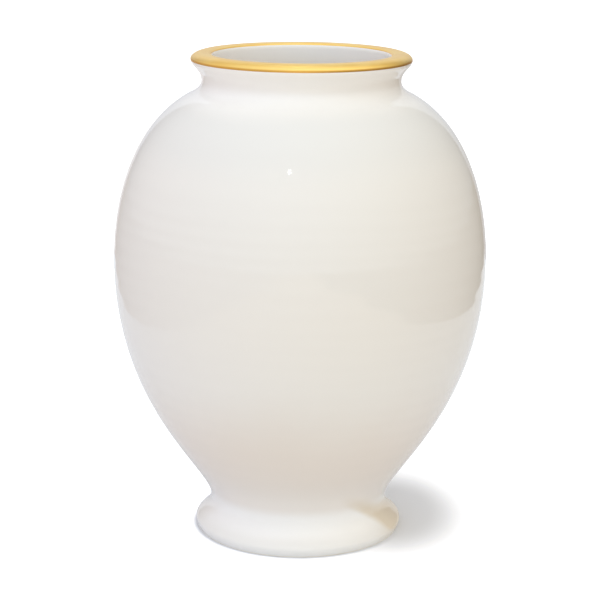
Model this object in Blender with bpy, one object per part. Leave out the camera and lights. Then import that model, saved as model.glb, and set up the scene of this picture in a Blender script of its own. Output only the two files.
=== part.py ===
# Porcelain table vase: a thrown body with a turned-out lip, standing on a hollow foot
# ring, with a fired gold band over the lip.
# Metres, +Z up. The origin is the centre of the circle that the foot stands on.
# Outlines are points (radius, height) in millimetres, turned round the Z axis.
import bpy
import bmesh
from math import cos, radians, sin, tau
from mathutils import Vector
from mathutils.geometry import interpolate_bezier

MM = 0.001

# Driving dimensions, in millimetres.
HEIGHT = 300.0                  # table to lip crest
CREST_RADIUS = 60.5             # the highest circle of the lip
LIP_RADIUS = 67.1
LIP_EDGE_HEIGHT = 296.2         # height of the lip's outermost circle
MOUTH_RADIUS = 54.0
MOUTH_HEIGHT = 296.2            # where the lip's inner rounding meets the neck's wall
NECK_RADIUS = 60.6
NECK_HEIGHT = 283.2             # height of the narrowest circle under the lip
SHOULDER_RADIUS = 70.3
SHOULDER_HEIGHT = 273.6
SHOULDER_LEAN = radians(59.6)   # of the outline at the shoulder, from the vertical
BELLY_RADIUS = 115.0
BELLY_HEIGHT = 173.5            # height of the widest circle
WAIST_RADIUS = 55.65            # the crease where the body meets the foot
WAIST_HEIGHT = 19.8
FOOT_RADIUS = 65.1
FOOT_WIDEST_HEIGHT = 4.2
REST_OUTER_RADIUS = 64.1        # the flat ring that stands on the table
REST_INNER_RADIUS = 57.0
WALL = 5.5                      # body wall, from shoulder to lower belly
FLOOR_HEIGHT = 27.0             # inside floor, on the axis
FLOOR_RADIUS = 57.2             # where the inside wall turns into the floor
FLOOR_EDGE_HEIGHT = 37.4
FLOOR_LEAN = radians(33.3)      # of the inside wall there, from the vertical
SPIGOT_RADIUS = 45.6            # boss under the body that drops into the foot ring
SPIGOT_DEPTH = 2.0
FOOT_BORE_DEPTH = 3.6           # straight part of the foot ring's hole
GAP = 0.3                       # clearance between the body and the pieces joined to it
GOLD_THICKNESS = 0.45           # stands for a fired film, thick enough to be a solid
SEGMENTS = 48                   # facets round the axis, a multiple of four

# The lip is drawn in three stretches. The gold starts and ends at these steps of them.
UNDERSIDE_STEPS = 10
GOLD_START = 9                  # step of the underside, counted up from the neck
TOP_STEPS = 5
INSIDE_STEPS = 6
GOLD_END = 4                    # step of the inner rounding, counted down from the crest

PORCELAIN = (0.87, 0.85, 0.80, 1.0)
GOLD = (0.83, 0.58, 0.20, 1.0)


def stretch(start, start_handle, end_handle, end, steps):
    """Points of one curved stretch; the handles are offsets from its two ends."""
    first = Vector(start)
    last = Vector(end)
    near = first + Vector(start_handle)
    far = last + Vector(end_handle)
    return [point.to_2d() for point in interpolate_bezier(first, near, far, last, steps + 1)]


def join(*stretches):
    """One run of points, with a point that two stretches share kept once."""
    run = []
    for points in stretches:
        for point in points:
            if not run or (Vector(point) - run[-1]).length > 0.001:
                run.append(Vector(point))
    return run


def direction(run, i):
    """Direction of travel along the run at one of its points."""
    return (run[min(i + 1, len(run) - 1)] - run[max(i - 1, 0)]).normalized()


def sink(run, depth):
    """The run moved to the left of its travel, which is into the clay."""
    moved = []
    for i, point in enumerate(run):
        along = direction(run, i)
        moved.append(point + depth * Vector((-along.y, along.x)))
    return moved


def lip_run():
    """The finished lip: up from the neck, over the crest and down into the mouth."""
    neck = (NECK_RADIUS, NECK_HEIGHT)
    edge = (LIP_RADIUS, LIP_EDGE_HEIGHT)
    crest = (CREST_RADIUS, HEIGHT)
    mouth = (MOUTH_RADIUS, MOUTH_HEIGHT)
    return join(
        stretch(neck, (0, 7.0), (0, -4.3), edge, UNDERSIDE_STEPS),
        stretch(edge, (0, 1.9), (3.4, 0), crest, TOP_STEPS),
        stretch(crest, (-5.6, 0), (0, 3.2), mouth, INSIDE_STEPS),
    )


def gold_span():
    """First and last point of the lip's run that the gold covers."""
    return GOLD_START, UNDERSIDE_STEPS + TOP_STEPS + GOLD_END


def gold_section():
    """The band: flush with the glaze outside, and as thick as the film's stand-in."""
    first, last = gold_span()
    outer = lip_run()[first:last + 1]
    return outer + sink(outer, GOLD_THICKNESS)[::-1]


def gilded_lip():
    """The body's lip, with a shallow rebate that the gold lies in."""
    run = lip_run()
    first, last = gold_span()
    start = run[first] - GAP * direction(run, first)
    end = run[last] + GAP * direction(run, last)
    rebate = sink([start] + run[first:last + 1] + [end], GOLD_THICKNESS + GAP)
    return run[:first] + [start] + rebate + [end] + run[last + 1:]


def body_section():
    """Up the outside, over the lip, down the inside to the floor, and back under it."""
    lean = Vector((sin(SHOULDER_LEAN), -cos(SHOULDER_LEAN)))
    inward = Vector((-cos(SHOULDER_LEAN), -sin(SHOULDER_LEAN)))
    floor_lean = Vector((sin(FLOOR_LEAN), cos(FLOOR_LEAN)))
    underside = WAIST_HEIGHT + GAP / 2
    waist = (WAIST_RADIUS, underside)
    belly = (BELLY_RADIUS, BELLY_HEIGHT)
    shoulder = Vector((SHOULDER_RADIUS, SHOULDER_HEIGHT))
    neck = (NECK_RADIUS, NECK_HEIGHT)
    mouth = (MOUTH_RADIUS, MOUTH_HEIGHT)
    inner_neck = (MOUTH_RADIUS, NECK_HEIGHT)
    inner_shoulder = shoulder + WALL * inward
    inner_belly = (BELLY_RADIUS - WALL, BELLY_HEIGHT)
    floor_edge = (FLOOR_RADIUS, FLOOR_EDGE_HEIGHT)
    return join(
        [(0, underside - SPIGOT_DEPTH), (SPIGOT_RADIUS, underside - SPIGOT_DEPTH)],
        [(SPIGOT_RADIUS, underside)],
        stretch(waist, (0, 20.0), (0, -95.0), belly, 9),
        stretch(belly, (0, 13.2), 49.0 * lean, shoulder, 7),
        stretch(shoulder, -2.3 * lean, (0, -5.7), neck, 3),
        gilded_lip(),
        stretch(mouth, (0, -4.0), (0, 4.0), inner_neck, 1),
        stretch(inner_neck, (0, -9.0), -9.0 * lean, inner_shoulder, 3),
        stretch(inner_shoulder, 46.0 * lean, (0, 13.0), inner_belly, 6),
        stretch(inner_belly, (0, -74.0), 27.0 * floor_lean, floor_edge, 7),
        stretch(floor_edge, -8.0 * floor_lean, (24.0, 0), (0, FLOOR_HEIGHT), 4),
    )


def foot_section():
    """A cushion-shaped ring, hollow underneath, whose hole takes the body's spigot."""
    top = WAIST_HEIGHT - GAP / 2
    hole = SPIGOT_RADIUS + GAP
    rest_edge = (REST_OUTER_RADIUS, 0)
    widest = (FOOT_RADIUS, FOOT_WIDEST_HEIGHT)
    waist = (WAIST_RADIUS, top)
    bore_end = (hole, top - FOOT_BORE_DEPTH)
    return join(
        stretch(rest_edge, (0.5, 0.9), (0, -2.0), widest, 3),
        stretch(widest, (0, 3.6), (0, -9.0), waist, 7),
        [(hole, top)],
        stretch(bore_end, (0.2, -3.5), (-2.5, 6.0), (REST_INNER_RADIUS, 0), 4),
    )


def turned(name, section, material):
    """A solid of revolution from a closed section."""
    shape = bmesh.new()
    ring = [shape.verts.new((x * MM, 0.0, z * MM)) for x, z in section]
    for vert, after in zip(ring, ring[1:] + ring[:1]):
        if vert.co.x > 0 or after.co.x > 0:
            shape.edges.new((vert, after))
    bmesh.ops.spin(
        shape, geom=ring + shape.edges[:], axis=(0, 0, 1), cent=(0, 0, 0),
        angle=tau, steps=SEGMENTS, use_merge=True,
    )
    bmesh.ops.remove_doubles(shape, verts=shape.verts, dist=0.01 * MM)
    bmesh.ops.recalc_face_normals(shape, faces=shape.faces)
    mesh = bpy.data.meshes.new(name)
    shape.to_mesh(mesh)
    shape.free()
    mesh.shade_smooth()
    mesh.set_sharp_from_angle(angle=radians(35))
    mesh.materials.append(material)
    piece = bpy.data.objects.new(name, mesh)
    bpy.context.collection.objects.link(piece)
    return piece


def finish(name, colour, roughness, metallic):
    """A plain Principled material."""
    material = bpy.data.materials.new(name)
    material.use_nodes = True
    shader = material.node_tree.nodes["Principled BSDF"]
    shader.inputs["Base Color"].default_value = colour
    shader.inputs["Roughness"].default_value = roughness
    shader.inputs["Metallic"].default_value = metallic
    return material


def build():
    """Every piece, on an empty scene."""
    for piece in list(bpy.data.objects):
        bpy.data.objects.remove(piece, do_unlink=True)
    turned("vase_body", body_section(), finish("body_glaze", PORCELAIN, 0.08, 0.0))
    turned("foot_ring", foot_section(), finish("foot_glaze", PORCELAIN, 0.10, 0.0))
    turned("gold_lip_band", gold_section(), finish("fired_gold", GOLD, 0.25, 1.0))


build()
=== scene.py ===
# Porcelain vase with a gold lip: the looks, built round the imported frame.
import bpy
import bmesh
from math import atan2, cos, hypot, radians, sin, tau
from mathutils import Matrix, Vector, noise
from mathutils.geometry import interpolate_bezier


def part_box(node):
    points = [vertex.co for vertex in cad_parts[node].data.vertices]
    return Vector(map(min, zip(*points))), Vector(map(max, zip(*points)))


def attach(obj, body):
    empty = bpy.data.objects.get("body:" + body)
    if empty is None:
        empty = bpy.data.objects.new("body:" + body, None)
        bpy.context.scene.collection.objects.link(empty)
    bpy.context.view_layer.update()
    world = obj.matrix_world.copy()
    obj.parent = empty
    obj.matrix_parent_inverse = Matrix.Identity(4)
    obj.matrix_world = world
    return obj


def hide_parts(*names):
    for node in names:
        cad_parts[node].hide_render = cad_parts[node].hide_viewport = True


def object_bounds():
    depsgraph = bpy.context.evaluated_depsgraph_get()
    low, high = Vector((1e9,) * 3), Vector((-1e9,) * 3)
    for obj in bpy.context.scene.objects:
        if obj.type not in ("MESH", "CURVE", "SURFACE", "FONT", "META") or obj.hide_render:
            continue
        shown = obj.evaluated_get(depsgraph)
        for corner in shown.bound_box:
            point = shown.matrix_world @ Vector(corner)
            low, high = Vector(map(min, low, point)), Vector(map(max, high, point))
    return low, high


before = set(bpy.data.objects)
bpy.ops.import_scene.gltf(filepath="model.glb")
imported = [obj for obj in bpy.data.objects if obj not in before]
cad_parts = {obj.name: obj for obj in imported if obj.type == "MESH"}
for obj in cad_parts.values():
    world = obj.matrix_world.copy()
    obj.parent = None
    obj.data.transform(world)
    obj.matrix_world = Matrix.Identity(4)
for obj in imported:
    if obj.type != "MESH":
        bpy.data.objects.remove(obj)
cadLow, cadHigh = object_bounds()
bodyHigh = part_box("vase_body")[1]
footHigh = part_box("foot_ring")[1]
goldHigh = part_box("gold_lip_band")[1]
mm = 0.001
print("frame loaded:", sorted(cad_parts))

outline = {                         # millimetres, and the frame gives the outer sizes
    "height": cadHigh.z / mm,
    "crestRadius": 60.5,
    "lipRadius": goldHigh.x / mm,
    "lipHeight": 296.2,
    "mouthRadius": 54.0,
    "neckRadius": 60.6,
    "neckHeight": 283.2,
    "shoulderRadius": 70.3,
    "shoulderHeight": 273.6,
    "shoulderLean": radians(59.6),  # from the vertical
    "bellyRadius": bodyHigh.x / mm,
    "bellyHeight": 173.5,
    "waistRadius": 55.65,
    "waistHeight": 19.8,
    "footRadius": footHigh.x / mm,
    "footWidestHeight": 4.2,
    "restOuter": 64.1,
    "restInner": 57.0,
    "wall": 5.5,
    "floorHeight": 27.0,
    "floorRadius": 57.2,
    "floorEdgeHeight": 37.4,
    "floorLean": radians(33.3),
    "spigotRadius": 45.6,
    "spigotDepth": 2.0,
    "boreDepth": 3.6,
    "slipGap": 0.03,                # hairline between body and foot
}

pulls = {                           # how far each curve runs along its end's direction, in millimetres
    "waistUp": 20.0,
    "bellyDown": 95.0,
    "bellyUp": 13.2,
    "shoulderDown": 49.0,
    "shoulderUp": 2.3,
    "neckDown": 5.7,
    "neckUp": 7.0,
    "lipDown": 4.3,
    "lipUp": 1.9,
    "crestOut": 3.4,
    "crestIn": 5.6,
    "mouthUp": 3.2,
    "mouthStraight": 4.0,
    "innerNeckDown": 9.0,
    "innerShoulderUp": 9.0,
    "innerShoulderDown": 46.0,
    "innerBellyUp": 13.0,
    "innerBellyDown": 74.0,
    "floorEdgeUp": 27.0,
    "floorEdgeDown": 8.0,
    "floorOut": 24.0,
}


def makeCamera():
    view = {"distance": 1.0953, "height": 0.42, "tilt": 14.057, "roll": 0.47, "aside": 0.013, "lens": 108.5}
    data = bpy.data.cameras.new("studioCamera")
    data.lens = view["lens"]
    data.sensor_width = 36.0
    data.clip_end = 50.0
    camera = bpy.data.objects.new("studioCamera", data)
    camera.location = (0, -view["distance"], view["height"])
    camera.rotation_euler = (radians(90 - view["tilt"]), 0, 0)
    camera.rotation_euler.rotate_axis("Y", radians(-view["aside"]))
    camera.rotation_euler.rotate_axis("Z", radians(view["roll"]))
    bpy.context.collection.objects.link(camera)
    bpy.context.scene.camera = camera


makeCamera()
print("camera placed")


# Outlines are runs of (radius, height) points in millimetres, with the clay on the left.

def stretch(start, startHandle, endHandle, end, steps):
    first = Vector(start)
    last = Vector(end)
    near = first + Vector(startHandle)
    far = last + Vector(endHandle)
    return [point.to_2d() for point in interpolate_bezier(first, near, far, last, steps + 1)]


def join(*stretches):
    run = []
    for points in stretches:
        for point in points:
            if not run or (Vector(point) - run[-1]).length > 0.001:
                run.append(Vector(point))
    return run


def heading(run, i):
    return (run[min(i + 1, len(run) - 1)] - run[max(i - 1, 0)]).normalized()


def sink(run, depth):
    moved = []
    for i, point in enumerate(run):
        along = heading(run, i)
        moved.append(point + depth * Vector((-along.y, along.x)))
    return moved


def turn(section, segments):
    shape = bmesh.new()
    ring = [shape.verts.new((x * mm, 0.0, z * mm)) for x, z in section]
    for vert, after in zip(ring, ring[1:] + ring[:1]):
        if vert.co.x > 0 or after.co.x > 0:
            shape.edges.new((vert, after))
    bmesh.ops.spin(
        shape, geom=ring + shape.edges[:], axis=(0, 0, 1), cent=(0, 0, 0),
        angle=tau, steps=segments, use_merge=True,
    )
    bmesh.ops.remove_doubles(shape, verts=shape.verts, dist=0.002 * mm)
    bmesh.ops.recalc_face_normals(shape, faces=shape.faces)
    return shape


def addPiece(name, shape, materials, sharpAngle=40):
    mesh = bpy.data.meshes.new(name)
    shape.to_mesh(mesh)
    shape.free()
    mesh.shade_smooth()
    mesh.set_sharp_from_angle(angle=radians(sharpAngle))
    for material in materials:
        mesh.materials.append(material)
    piece = bpy.data.objects.new(name, mesh)
    bpy.context.collection.objects.link(piece)
    return piece


# Shader maths: a wire is one output socket, and sums of wires add Math nodes.

class Wire:
    def __init__(self, shade, socket):
        self.shade = shade
        self.socket = socket

    def maths(self, operation, *values):
        inputs = dict(enumerate(values))
        return self.shade.node("Math", {"operation": operation}, inputs)

    def __add__(self, other):
        return self.maths("ADD", self, other)

    def __sub__(self, other):
        return self.maths("SUBTRACT", self, other)

    def __rsub__(self, other):
        return self.maths("SUBTRACT", other, self)

    def __mul__(self, other):
        return self.maths("MULTIPLY", self, other)

    def __truediv__(self, other):
        return self.maths("DIVIDE", self, other)

    def __pow__(self, other):
        return self.maths("POWER", self, other)

    def output(self, name):             # another socket of the same node
        return Wire(self.shade, self.socket.node.outputs[name])

    def above(self, level):
        return self.maths("GREATER_THAN", self, level)

    def high(self, other):
        return self.maths("MAXIMUM", self, other)

    def low(self, other):
        return self.maths("MINIMUM", self, other)

    __radd__ = __add__
    __rmul__ = __mul__


class Shade:
    def __init__(self, name):
        self.material = bpy.data.materials.new(name)
        self.material.use_nodes = True
        self.tree = self.material.node_tree
        self.tree.nodes.clear()
        self.place = self.node("TexCoord", output="Object")
        split = self.node("SeparateXYZ", inputs={0: self.place})
        self.x = split
        self.y = split.output("Y")
        self.z = split.output("Z")
        self.radius = (self.x * self.x + self.y * self.y) ** 0.5

    def node(self, kind, settings=None, inputs=None, output=0):
        made = self.tree.nodes.new("ShaderNode" + kind)
        for key, value in (settings or {}).items():
            setattr(made, key, value)
        for key, value in (inputs or {}).items():
            if isinstance(value, Wire):
                self.tree.links.new(value.socket, made.inputs[key])
            else:
                made.inputs[key].default_value = value
        return Wire(self, made.outputs[output])

    def band(self, value, start, end):      # 0 at start, 1 at end, smooth between
        settings = {"interpolation_type": "SMOOTHSTEP"}
        inputs = {"Value": value, "From Min": start, "From Max": end}
        return self.node("MapRange", settings, inputs)

    def cloud(self, scale, detail=2.0, rough=0.5, stretchZ=1.0):
        placed = self.node("Mapping", {}, {"Vector": self.place, "Scale": (1, 1, stretchZ)})
        inputs = {"Vector": placed, "Scale": scale, "Detail": detail, "Roughness": rough}
        return self.node("TexNoise", {}, inputs)

    def blend(self, factor, first, second):
        settings = {"data_type": "RGBA"}
        return self.node("Mix", settings, {"Factor": factor, 6: first, 7: second}, output=2)

    def bump(self, height, distance):
        return self.node("Bump", {}, {"Height": height, "Distance": distance})

    def lead(self, wire, kind, socket):     # the tree's last node
        out = self.tree.nodes.new("ShaderNode" + kind)
        self.tree.links.new(wire.socket, out.inputs[socket])

    def finish(self, **sockets):
        named = {key.replace("_", " "): value for key, value in sockets.items()}
        self.lead(self.node("BsdfPrincipled", {}, named), "OutputMaterial", "Surface")
        return self.material


class Sky(Shade):                       # the same for the world's nodes
    def __init__(self, name):
        world = bpy.data.worlds.new(name)
        bpy.context.scene.world = world
        world.use_nodes = True
        self.tree = world.node_tree
        self.tree.nodes.clear()


def glazeFinish(name, paintedShadeMask, inner=None, bare=None):
    glaze = {
        "cream": (0.808, 0.800, 0.780, 1.0),
        "paintedLightColour": (0.950, 0.946, 0.938, 1.0),      # painted light: paler round the neck, in the lip's shade, and on the foot's lit top
        "shoulder": (0.770, 0.770, 0.758, 1.0),  # painted shade: greyer on the shoulder's top, taking back the light that falls on it from above
        "warmShade": (0.775, 0.712, 0.652, 1.0),      # painted shade: warmer and darker low on the pot, where the belly faces down
        "paintedShade": (0.740, 0.660, 0.540, 1.0),      # painted shade and shadow: under the lip, at the waist's sides, on the foot's right side
        # painted light: paler than the outside glaze, to lift the shade inside the pot
        "inside": (0.975, 0.965, 0.950, 1.0),
        "deep": (0.930, 0.860, 0.775, 1.0),      # painted shade: warmer and darker further down the inside
        "biscuit": (0.790, 0.745, 0.660, 1.0),   # bare fired clay
        "biscuitRoughness": 0.70,
        "biscuitWander": 0.5,                    # millimetres
        "roughness": 0.055,
        "dullness": 0.05,                        # extra roughness in patches
        "peel": 0.035 * mm,                      # height of the glaze's slow ripple
        "pinholes": 0.18,                        # share of the ripple that is fine
        "footPaintedLight": 0.72,                         # how strongly the painted light pales the foot and the waist just above it
        "warmFade": 0.35,
        "drift": 30,                             # millimetres the warm zone's edge wanders
        "neckDrift": 7,
        "grain": (0.77, 0.75, 0.71, 1.0),
        "grainAmount": 0.10,
        "iron": (0.36, 0.27, 0.19, 1.0),         # a few specks
        "ironAmount": 0.45,
        "ironRare": 0.955,                       # share of the cells without a speck
    }
    zones = {                                    # heights in millimetres: nothing, then in full
        "neck": (266.0, 285.0),
        "footPaintedLight": (50.0, 26.0),
        "restRing": (3.0, 13.0),
        "shoulderShadeStart": (232.0, 255.0),
        "shoulderShadeEnd": (275.0, 265.0),
        "warmShade": (125.0, 62.0),
        "warmEnd": (20.0, 29.0),
        "warmFade": (55.0, 28.0),
        "deep": (296.0, 278.0),
    }
    s = Shade(name)
    z = s.z / mm
    drift = s.cloud(14.0, 3.0, stretchZ=0.5) - 0.5
    height = z + drift * glaze["drift"]
    level = z + drift * glaze["neckDrift"]
    # painted light: paler at the neck and on the foot, fading out towards the foot's bottom edge
    paintedLightMask = s.band(level, *zones["neck"]) + s.band(z, *zones["footPaintedLight"]) * glaze["footPaintedLight"]
    paintedLightMask = paintedLightMask * s.band(z, *zones["restRing"])
    # painted shade on the shoulder's top
    shoulderShadeMask = s.band(level, *zones["shoulderShadeStart"]) * s.band(level, *zones["shoulderShadeEnd"])
    # painted shade on the lower belly, stopping above the foot
    low = s.band(height, *zones["warmShade"]) * s.band(z, *zones["warmEnd"])
    low = low * (1.0 - glaze["warmFade"] * s.band(z, *zones["warmFade"]))
    colour = s.blend(paintedLightMask, glaze["cream"], glaze["paintedLightColour"])
    colour = s.blend(shoulderShadeMask, colour, glaze["shoulder"])
    colour = s.blend(low, colour, glaze["warmShade"])
    # painted shade and shadow, where the mask passed in puts it
    shadeAmount = paintedShadeMask(s) * (0.8 + 0.4 * s.cloud(90.0, 2.0))
    colour = s.blend(shadeAmount.low(1.0), colour, glaze["paintedShade"])
    if inner:
        # painted light inside the pot, and painted shade further down
        insideLightAndShade = s.blend(s.band(z, *zones["deep"]), glaze["inside"], glaze["deep"])
        colour = s.blend(inner(s), colour, insideLightAndShade)
    fine = s.cloud(420.0, 2.0, 0.6)
    colour = s.blend((fine - 0.5).high(0.0) * glaze["grainAmount"], colour, glaze["grain"])
    cells = s.node("TexVoronoi", {"feature": "F1"}, {"Vector": s.place, "Scale": 75.0})
    chance = s.node("TexWhiteNoise", {"noise_dimensions": "3D"}, {"Vector": cells.output("Position")})
    speck = s.band(cells, 0.028, 0.012) * chance.above(glaze["ironRare"])
    colour = s.blend(speck * glaze["ironAmount"], colour, glaze["iron"])
    rough = glaze["roughness"] + glaze["dullness"] * (s.cloud(60.0, 3.0) - 0.4).high(0.0)
    if bare:
        edge = z + (s.cloud(70.0, 2.0) - 0.5) * glaze["biscuitWander"]
        biscuit = s.band(edge, bare + 0.2, bare - 0.2)
        colour = s.blend(biscuit, colour, glaze["biscuit"])
        rough = rough + biscuit * glaze["biscuitRoughness"]
    ripple = s.bump(s.cloud(110.0, 1.5) + glaze["pinholes"] * s.cloud(900.0, 1.0), glaze["peel"])
    return s.finish(Base_Color=colour, Roughness=rough, IOR=1.5, Normal=ripple)


def goldFinish():
    gold = {
        "face": (0.995, 0.715, 0.245, 1.0),
        "deep": (0.965, 0.640, 0.175, 1.0),
        "edge": (0.880, 0.500, 0.120, 1.0),      # the film burns darker where it thins out
        "roughness": 0.34,
        "brush": 0.004 * mm,
        "wander": 0.36,                          # millimetres that the dark edges stray
        "outer": (63.0, 64.0),                   # radii in millimetres: nothing, then in full
        "outerFoot": (297.0, 296.6),
        "inner": (54.95, 54.5),
    }
    s = Shade("firedGold")
    around = s.node("Math", {"operation": "ARCTAN2"}, {0: s.y, 1: s.x})
    height = s.z / mm
    reach = s.radius / mm
    strokes = s.node("CombineXYZ", {}, {0: around * 1.6, 1: reach * 0.9, 2: height * 0.9})
    streak = s.node("TexNoise", {}, {"Vector": strokes, "Scale": 1.0, "Detail": 3.0, "Roughness": 0.6})
    patch = s.cloud(38.0, 3.0)
    colour = s.blend(s.band(patch * 0.6 + streak * 0.4, 0.42, 0.62), gold["deep"], gold["face"])
    wander = (s.cloud(55.0, 2.0) - 0.5) * gold["wander"]
    outerEdge = s.band(height + wander, *gold["outerFoot"]) * s.band(reach, *gold["outer"])
    innerEdge = s.band(reach + wander, *gold["inner"])
    colour = s.blend((outerEdge + innerEdge * 0.6).low(1.0), colour, gold["edge"])
    rough = gold["roughness"] + 0.10 * (streak - 0.5) + 0.08 * (patch - 0.5)
    grain = s.bump(streak + 0.5 * s.cloud(700.0, 2.0), gold["brush"])
    return s.finish(Base_Color=colour, Metallic=1.0, Roughness=rough, Normal=grain)


def throwing(x, y, z, amount):          # the spiral ridge that the thrower's finger leaves
    ridges = {"pitch": 10.3, "waver": 1.1, "fadeLow": 40.0, "fadeHigh": 262.0, "fade": 35.0}
    drift = noise.noise(Vector((0.0, 0.0, z * 0.021)))
    local = noise.noise(Vector((x * 0.011, y * 0.011, z * 0.03 + 7.0)))
    phase = z / ridges["pitch"] + atan2(y, x) / tau + ridges["waver"] * drift + 0.35 * local
    ease = min(max((z - ridges["fadeLow"]) / ridges["fade"], 0.0), 1.0)
    ease *= min(max((ridges["fadeHigh"] - z) / ridges["fade"], 0.0), 1.0)
    return amount * ease * (0.5 * cos(tau * phase) - 0.5) * (0.75 + 0.6 * local)


def makeBody(material):
    body = {                            # millimetres
        "segments": 192,
        "ridge": 0.11,
        "ridgeInside": 0.22,
        "rebate": 0.14,                 # the gold sits in it
        "rebateStep": 0.02,
        "spigotEdge": 0.5,
        "underRing": 20,
        "axisReach": 1.0,               # no ridges this near the axis
    }
    o = outline
    p = pulls
    lean = Vector((sin(o["shoulderLean"]), -cos(o["shoulderLean"])))
    inward = Vector((-cos(o["shoulderLean"]), -sin(o["shoulderLean"])))
    floorLean = Vector((sin(o["floorLean"]), cos(o["floorLean"])))
    underside = o["waistHeight"] + o["slipGap"] / 2
    belly = (o["bellyRadius"], o["bellyHeight"])
    shoulder = Vector((o["shoulderRadius"], o["shoulderHeight"]))
    neck = (o["neckRadius"], o["neckHeight"])
    mouth = (o["mouthRadius"], o["lipHeight"])
    innerNeck = (o["mouthRadius"], o["neckHeight"])
    innerShoulder = shoulder + o["wall"] * inward
    innerBelly = (o["bellyRadius"] - o["wall"], o["bellyHeight"])
    floorEdge = (o["floorRadius"], o["floorEdgeHeight"])
    spigotFoot = underside - o["spigotDepth"]
    lip, first, last = lipRun()
    start = lip[first] - body["rebateStep"] * heading(lip, first)
    end = lip[last] + body["rebateStep"] * heading(lip, last)
    rebate = sink([start] + lip[first:last + 1] + [end], body["rebate"])
    spigot = o["spigotRadius"]
    bevel = body["spigotEdge"]
    section = join(
        [(0, spigotFoot), (body["underRing"], spigotFoot), (spigot - bevel, spigotFoot)],
        [(spigot, spigotFoot + bevel), (spigot, underside)],
        stretch((o["waistRadius"], underside), (0, p["waistUp"]), (0, -p["bellyDown"]), belly, 118),
        stretch(belly, (0, p["bellyUp"]), p["shoulderDown"] * lean, shoulder, 84),
        stretch(shoulder, -p["shoulderUp"] * lean, (0, -p["neckDown"]), neck, 16),
        lip[:first], [start], rebate, [end], lip[last + 1:],
        stretch(mouth, (0, -p["mouthStraight"]), (0, p["mouthStraight"]), innerNeck, 6),
        stretch(innerNeck, (0, -p["innerNeckDown"]), -p["innerShoulderUp"] * lean, innerShoulder, 12),
        stretch(innerShoulder, p["innerShoulderDown"] * lean, (0, p["innerBellyUp"]), innerBelly, 44),
        stretch(innerBelly, (0, -p["innerBellyDown"]), p["floorEdgeUp"] * floorLean, floorEdge, 56),
        stretch(floorEdge, -p["floorEdgeDown"] * floorLean, (p["floorOut"], 0), (0, o["floorHeight"]), 26),
    )
    shape = turn(section, body["segments"])
    for vert in shape.verts:
        x, y, z = vert.co / mm
        reach = hypot(x, y)
        if reach < body["axisReach"]:
            continue
        outside = Vector((vert.normal.x, vert.normal.y)).dot(Vector((x, y))) > 0
        amount = body["ridge"] if outside else -body["ridgeInside"]
        moved = throwing(x, y, z, amount)
        vert.co += Vector((x, y, 0.0)) * (moved / reach * mm)
    return addPiece("porcelainBody", shape, [material])


def lipRun():                           # the whole lip, and the span of it that the gold covers
    lip = {"underside": 18, "top": 14, "inside": 15, "goldFoot": 17, "goldInside": 10}
    o = outline
    p = pulls
    edge = (o["lipRadius"], o["lipHeight"])
    crest = (o["crestRadius"], o["height"])
    neck = (o["neckRadius"], o["neckHeight"])
    mouth = (o["mouthRadius"], o["lipHeight"])
    run = join(
        stretch(neck, (0, p["neckUp"]), (0, -p["lipDown"]), edge, lip["underside"]),
        stretch(edge, (0, p["lipUp"]), (p["crestOut"], 0), crest, lip["top"]),
        stretch(crest, (-p["crestIn"], 0), (0, p["mouthUp"]), mouth, lip["inside"]),
    )
    return run, lip["goldFoot"], lip["underside"] + lip["top"] + lip["goldInside"]


def makeGold(material):
    gold = {"segments": 256, "thickness": 0.12}
    lip, first, last = lipRun()
    outer = lip[first:last + 1]
    inner = sink(outer, gold["thickness"])
    shape = turn(outer + inner[::-1], gold["segments"])
    return addPiece("goldBand", shape, [material], sharpAngle=50)


def makeFoot(glazed):
    foot = {
        "segments": 192,
        "edge": 0.5,                    # rounding of the rest ring
        "holeGap": 0.1,
        "swell": 3.6,                   # how far the cushion's curve rises before it turns in
        "crease": 9.0,
        "hollowTop": 3.5,
    }
    o = outline
    top = o["waistHeight"] - o["slipGap"] / 2
    hole = o["spigotRadius"] + foot["holeGap"]
    outer = o["restOuter"]
    inner = o["restInner"]
    edge = foot["edge"]
    widest = (o["footRadius"], o["footWidestHeight"])
    section = join(
        stretch((outer - edge, 0), (0.35, 0), (0, -0.35), (outer, edge), 5),
        stretch((outer, edge), (0.35, 0.8), (0, -1.8), widest, 12),
        stretch(widest, (0, foot["swell"]), (0, -foot["crease"]), (o["waistRadius"], top), 34),
        [(hole, top)],
        stretch((hole, top - o["boreDepth"]), (0.2, -foot["hollowTop"]), (-2.5, 6.0), (inner, edge), 26),
        stretch((inner, edge), (0.1, -0.3), (-0.3, 0), (inner + edge, 0), 5),
    )
    shape = turn(section, foot["segments"])
    return addPiece("footRing", shape, [glazed])


def bodyPaintedShade(s):                       # painted shade: a little under the lip, and painted shadows in the waist's crease
    lip = {"start": (280.5, 284.0), "end": (289.5, 285.5), "amount": 0.05}
    height = s.z / mm
    underLip = s.band(height, *lip["start"]) * s.band(height, *lip["end"])
    return underLip * lip["amount"] + waistPaintedShadows(s)


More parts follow.
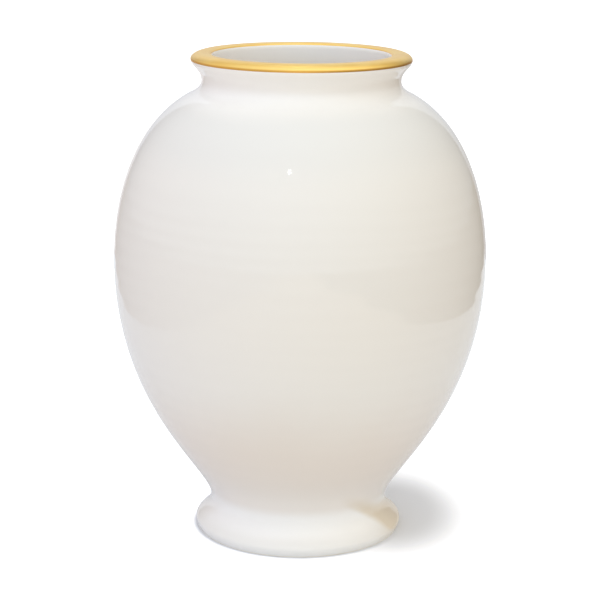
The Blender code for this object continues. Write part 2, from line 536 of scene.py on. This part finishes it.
def waistPaintedShadows(s):                   # painted shadows that the belly casts over the waist and foot at the two sides, on the front only
    patch = {                           # millimetres: each patch lies along a slope down to its side
        "slope": 0.75,
        "rightLevel": 50.5,
        "leftLevel": 54.7,
        "rightAcross": (24.0, 45.0),
        "leftAcross": (-42.0, -56.0),
        "rightDown": (-3.5, 1.0),       # its sharp lower edge, then the soft upper one
        "rightUp": (13.0, 2.0),
        "leftDown": (-4.0, 1.0),
        "leftUp": (8.0, 1.0),
        "back": (30.0, 0.0),
        "leftAmount": 0.2,
    }
    x = s.x / mm
    z = s.z / mm
    front = s.band(s.y / mm, *patch["back"])
    right = z + x * patch["slope"] - patch["rightLevel"]
    left = z - x * patch["slope"] - patch["leftLevel"]
    right = s.band(right, *patch["rightDown"]) * s.band(right, *patch["rightUp"])
    left = s.band(left, *patch["leftDown"]) * s.band(left, *patch["leftUp"])
    right = right * s.band(x, *patch["rightAcross"])
    left = left * s.band(x, *patch["leftAcross"])
    return (right + left * patch["leftAmount"]) * front


def bodyInside(s):                      # inside the pot the surface faces the axis
    inside = {"facing": (0.05, -0.15), "aboveFloor": (24.0, 28.0)}
    facing = s.node("NewGeometry", output="Normal")
    split = s.node("SeparateXYZ", {}, {0: facing})
    outward = (split * s.x + split.output("Y") * s.y) / s.radius
    return s.band(outward, *inside["facing"]) * s.band(s.z / mm, *inside["aboveFloor"])


def footPaintedShade(s):                       # painted shade on the foot's far right side too
    side = {"across": (0.046, 0.066), "amount": 0.6}
    return waistPaintedShadows(s) + s.band(s.x, *side["across"]) * side["amount"]


glazeOnBody = glazeFinish("bodyGlaze", bodyPaintedShade, bodyInside)
glazeOnFoot = glazeFinish("footGlaze", footPaintedShade, bare=0.6)      # wiped clean up to here, in millimetres
firedGold = goldFinish()
body = makeBody(glazeOnBody)
print("body turned:", len(body.data.polygons), "faces")
foot = makeFoot(glazeOnFoot)
gold = makeGold(firedGold)
print("foot and gold band turned")

for piece, node, slotName in (
    (body, "vase_body", "glazed_porcelain"),
    (foot, "foot_ring", "glazed_porcelain"),
    (gold, "gold_lip_band", "fired_gold"),
):
    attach(piece, "root")
    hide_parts(node)


def makeFloor():
    table = {                                    # places and sizes in metres
        "half": 6.0,
        "seen": (0.760, 0.775, 0.815, 1.0),      # straight on, white enough to lose its edges
        "floorGlow": 0.6,                             # painted light: a white glow on the floor, seen by the camera only, that washes out every shadow but the one on the right
        "shadow": (0.06, 0.018),                 # the middle of the painted shadow, where the glow is left out
        "shadowSquash": (1.8, 1.1),
        "shadowReach": (0.04, 0.12),
        "contact": (0.0645, 0.0685),             # the glow stops short of the foot here, leaving the thin dark line round it
        "paper": (0.80, 0.83, 0.88, 1.0),        # what the glaze mirrors and the light bounces off
        "front": (0.86, 0.76, 0.62, 1.0),        # the same paper where warm light falls on it
        "frontReach": (0.0, -0.45),
        "beyondLeft": (0.55, 0.50, 0.47, 1.0),   # the room past the paper's edges
        "beyondRight": (0.24, 0.20, 0.16, 1.0),
        "beyondReach": (-0.3, 0.3),
        "left": -0.41,
        "right": 0.46,
        "back": 0.78,
        "softEdge": 0.006,
    }
    shape = bmesh.new()
    bmesh.ops.create_grid(shape, x_segments=1, y_segments=1, size=table["half"])
    s = Shade("paleTable")
    soft = table["softEdge"]
    sheet = s.band(s.x, table["right"], table["right"] - soft)
    sheet = sheet * s.band(s.x, table["left"], table["left"] + soft)
    sheet = sheet * s.band(s.y, table["back"], table["back"] - soft)
    paper = s.blend(s.band(s.y, *table["frontReach"]), table["paper"], table["front"])
    beyond = s.blend(s.band(s.x, *table["beyondReach"]), table["beyondLeft"], table["beyondRight"])
    mirrored = s.node("BsdfDiffuse", {}, {"Color": s.blend(sheet, beyond, paper)})
    x, y = table["shadow"]
    across, along = table["shadowSquash"]
    aside = (s.x - x) * across
    deep = (s.y - y) * along
    reach = (aside * aside + deep * deep) ** 0.5
    glow = s.band(reach, *table["shadowReach"]) * s.band(s.radius, *table["contact"]) * table["floorGlow"]
    floorGlow = s.node("Emission", {}, {"Strength": glow})
    plain = s.node("BsdfDiffuse", {}, {"Color": table["seen"]})
    bright = s.node("AddShader", {}, {0: plain, 1: floorGlow})
    first = s.node("LightPath", output="Is Camera Ray")
    s.lead(s.node("MixShader", {}, {0: first, 1: mirrored, 2: bright}), "OutputMaterial", "Surface")
    addPiece("table", shape, [s.material])


def makeLight(name, at, aim, size, watts, colour, seen):
    data = bpy.data.lights.new(name, "AREA")
    data.shape = "RECTANGLE"
    data.size = size[0]
    data.size_y = size[1]
    data.energy = watts
    data.color = colour
    light = bpy.data.objects.new(name, data)
    light.location = at
    light.rotation_euler = (Vector(aim) - Vector(at)).to_track_quat("-Z", "Y").to_euler()
    light.visible_glossy = seen
    light.visible_camera = False
    bpy.context.collection.objects.link(light)


def makeTent():                         # white cloth all round, brighter where a lamp stands behind it
    glow = {                            # azimuth (0 is the camera's side), elevation, spread, colour
        "all": (0, 0, 0.0, (0.06, 0.05, 0.05)),
        "over": (0, 90, 1.5, (0.58, 0.59, 0.60)),
        "front": (0, 25, 1.2, (0.70, 0.77, 0.80)),
        "left": (-110, 10, 3.0, (0.40, 0.35, 0.32)),
        "right": (75, 40, 4.0, (0.37, 0.29, 0.12)),
    }
    s = Sky("tent")
    way = s.node("TexCoord", output="Generated")
    total = None
    for azimuth, elevation, spread, colour in glow.values():
        a = radians(azimuth)
        e = radians(elevation)
        towards = (sin(a) * cos(e), -cos(a) * cos(e), sin(e))
        near = s.node("VectorMath", {"operation": "DOT_PRODUCT"}, {0: way, 1: towards}, output="Value")
        fade = s.node("Math", {"operation": "EXPONENT"}, {0: near * spread - spread})
        lit = s.node("VectorMath", {"operation": "SCALE"}, {0: colour, "Scale": fade})
        if total:
            lit = s.node("VectorMath", {"operation": "ADD"}, {0: total, 1: lit})
        total = lit
    s.lead(s.node("Background", {}, {"Color": total}), "OutputWorld", "Surface")


def makeStudio():
    lamps = {                           # place, size, watts, colour, seen in the glaze
        "front": ((0.0, -2.6, 0.9), (1.8, 1.8), 5.9, (0.94, 1.0, 1.04), False),
        "frontHigh": ((-0.35, -0.85, 2.2), (0.7, 0.7), 3.2, (0.90, 1.0, 1.08), False),
        "left": ((-2.4, -0.8, 0.7), (1.4, 1.4), 3.2, (0.95, 0.48, 0.85), False),
        "right": ((2.4, -0.8, 0.7), (1.4, 1.4), 3.6, (1.0, 0.38, 0.05), False),
        "sparkleFront": ((-0.16, -1.06, 1.34), (0.045, 0.045), 0.12, (1, 1, 1), True),
        "sparkleTop": ((-0.03, 0.5, 1.65), (0.06, 0.06), 0.25, (1, 1, 1), True),
        "backdrop": ((0.025, 0.78, 0.55), (0.87, 1.1), 1.2, (0.93, 1.0, 1.12), True),
    }
    makeTent()
    for name, (at, size, watts, colour, seen) in lamps.items():
        aim = (at[0], 0, at[2]) if name == "backdrop" else (0, 0, 0.14)
        makeLight(name + "Lamp", at, aim, size, watts, colour, seen)


makeFloor()
makeStudio()
bpy.context.scene.view_settings.view_transform = "Standard"
print("studio lit")
